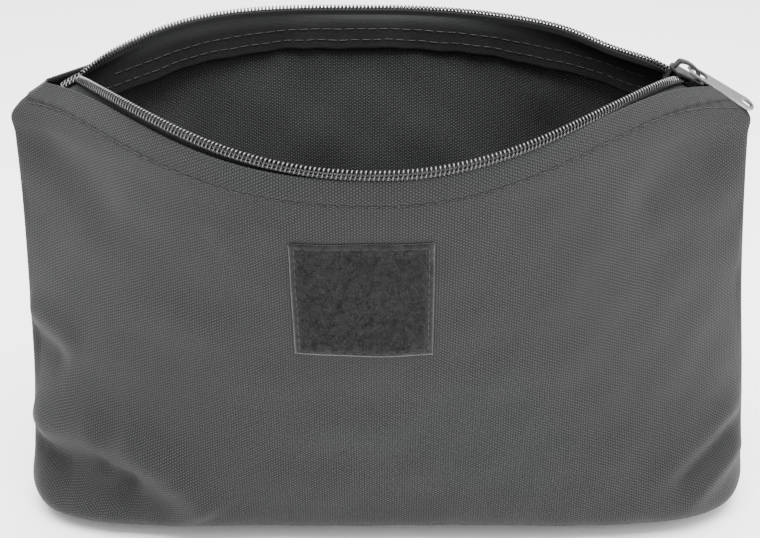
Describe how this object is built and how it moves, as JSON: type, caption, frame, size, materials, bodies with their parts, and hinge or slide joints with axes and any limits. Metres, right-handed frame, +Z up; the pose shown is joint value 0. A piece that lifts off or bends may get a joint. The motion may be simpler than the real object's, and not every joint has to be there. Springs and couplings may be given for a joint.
{
  "type": "cash deposit bag",
  "caption": "Soft cloth pouch that stands open, with a coil zipper round its mouth, a slider with a flat pull tab and a square loop patch on the front.",
  "frame": {"origin": "middle of the base, on the ground", "axes": "+X along the zipper towards the slider's end, -Y the front with the loop patch, +Z up"},
  "size_m": [0.307, 0.153, 0.2002],
  "materials": {
    "oxford_cloth": "matt coated oxford weave",
    "loop_pile": "fuzzy loop pile",
    "thread": "bonded polyester thread",
    "binding_tape": "ribbed polyester binding",
    "zipper_tape": "twill woven tape",
    "filler_cord": "twisted polyester cord",
    "nylon_coil": "glossy nylon monofilament",
    "slider_metal": "satin gunmetal",
    "tab_metal": "satin light gunmetal"
  },
  "bodies": {
    "bag": {"front_panel": "oxford_cloth", "back_panel": "oxford_cloth", "loop_patch": "loop_pile", "patch_stitching": "thread", "left_seam_binding": "binding_tape", "right_seam_binding": "binding_tape", "bottom_seam_binding": "binding_tape", "left_side_seam": "thread", "right_side_seam": "thread", "bottom_seam": "thread", "front_zipper_tape": "zipper_tape", "back_zipper_tape": "zipper_tape", "front_coil": "nylon_coil", "back_coil": "nylon_coil", "front_coil_cord": "filler_cord", "back_coil_cord": "filler_cord", "front_coil_thread": "thread", "back_coil_thread": "thread", "front_topstitch": "thread", "back_topstitch": "thread", "front_tape_seam": "thread", "back_tape_seam": "thread"},
    "slider": {"slider_body": "slider_metal", "slider_crown": "slider_metal"},
    "tab": {"pull_tab": "tab_metal"}
  },
  "joints": [
    {"name": "zipper_travel", "type": "hinge", "parent": "bag", "child": "slider", "pos_m": [0, 0, -0.26644], "axis": [0, -1, 0], "range_deg": [0, 25], "deforming": ["front_zipper_tape", "back_zipper_tape", "front_coil", "back_coil", "front_coil_cord", "back_coil_cord", "front_coil_thread", "back_coil_thread"]},
    {"name": "tab_swing", "type": "hinge", "parent": "slider", "child": "tab", "pos_m": [0.11672, 0, 0.1942], "axis": [0, -1, 0], "range_deg": [0, 150]}
  ]
}
